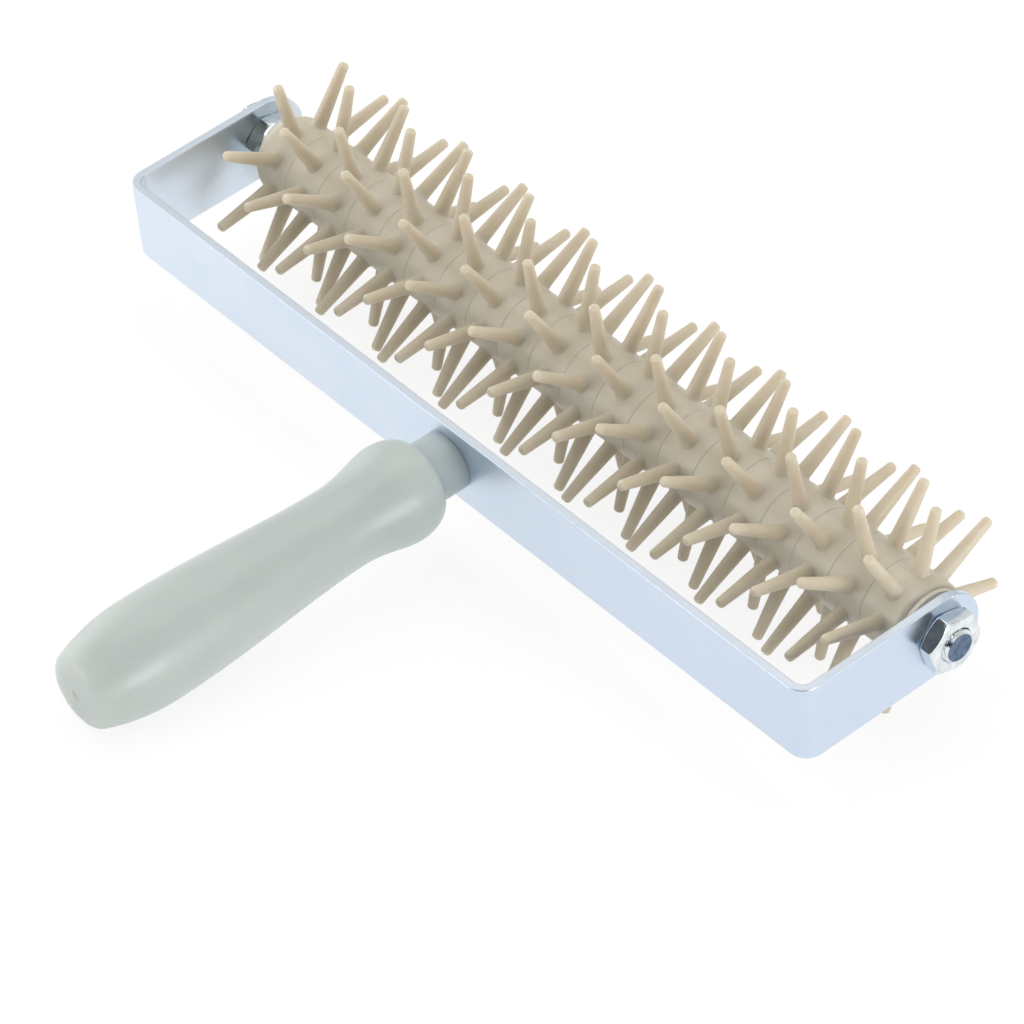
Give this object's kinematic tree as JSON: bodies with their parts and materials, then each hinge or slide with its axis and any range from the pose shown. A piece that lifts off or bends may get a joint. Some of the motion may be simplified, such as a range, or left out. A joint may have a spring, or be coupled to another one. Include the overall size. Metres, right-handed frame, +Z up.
{
  "type": "dough docker",
  "caption": "Hand roller that pricks rolled-out dough: rings of blunt plastic pins spin on an axle in a flat steel yoke with a turned handle.",
  "frame": {"origin": "on the table under the middle of the tool, which lies as it is put down: on its lowest pins and on the swell of its handle", "axes": "+X along the roller's axle, -Y towards the handle, +Z up from the table"},
  "size_m": [0.2358, 0.1645, 0.0501],
  "materials": {
    "plated_strip": "bright zinc plating on flat steel strip, smooth, with soft reflections",
    "plated_steel": "bright zinc plated hardware",
    "pin_plastic": "moulded, beige, satin",
    "handle_plastic": "moulded, pale greenish white, slightly translucent, satin",
    "bush_plastic": "plain white bearing plastic",
    "tube_metal": "drawn tube, plain",
    "brass_insert": "turned brass"
  },
  "bodies": {
    "frame": {"yoke": "plated_strip", "handle": "handle_plastic", "handle_insert": "brass_insert", "handle_screw": "plated_steel", "axle_rod": "plated_steel", "left_outer_nut": "plated_steel", "left_inner_nut": "plated_steel", "right_outer_nut": "plated_steel", "left_washer": "plated_steel", "right_washer": "plated_steel"},
    "roller": {"core_tube": "tube_metal", "left_bush": "bush_plastic", "right_bush": "bush_plastic", "pin_disc_01": "pin_plastic", "pin_disc_02": "pin_plastic", "pin_disc_03": "pin_plastic", "pin_disc_04": "pin_plastic", "pin_disc_05": "pin_plastic", "pin_disc_06": "pin_plastic", "pin_disc_07": "pin_plastic", "pin_disc_08": "pin_plastic", "pin_disc_09": "pin_plastic", "pin_disc_10": "pin_plastic", "pin_disc_11": "pin_plastic", "pin_disc_12": "pin_plastic", "pin_disc_13": "pin_plastic", "pin_disc_14": "pin_plastic", "pin_disc_15": "pin_plastic", "pin_disc_16": "pin_plastic", "pin_disc_17": "pin_plastic", "pin_disc_18": "pin_plastic", "pin_disc_19": "pin_plastic", "pin_disc_20": "pin_plastic"}
  },
  "joints": [
    {"name": "roller_spin", "type": "hinge", "parent": "frame", "child": "roller", "pos_m": [0, 0.05716, 0.02504], "axis": [1, 0, 0], "continuous": true}
  ]
}
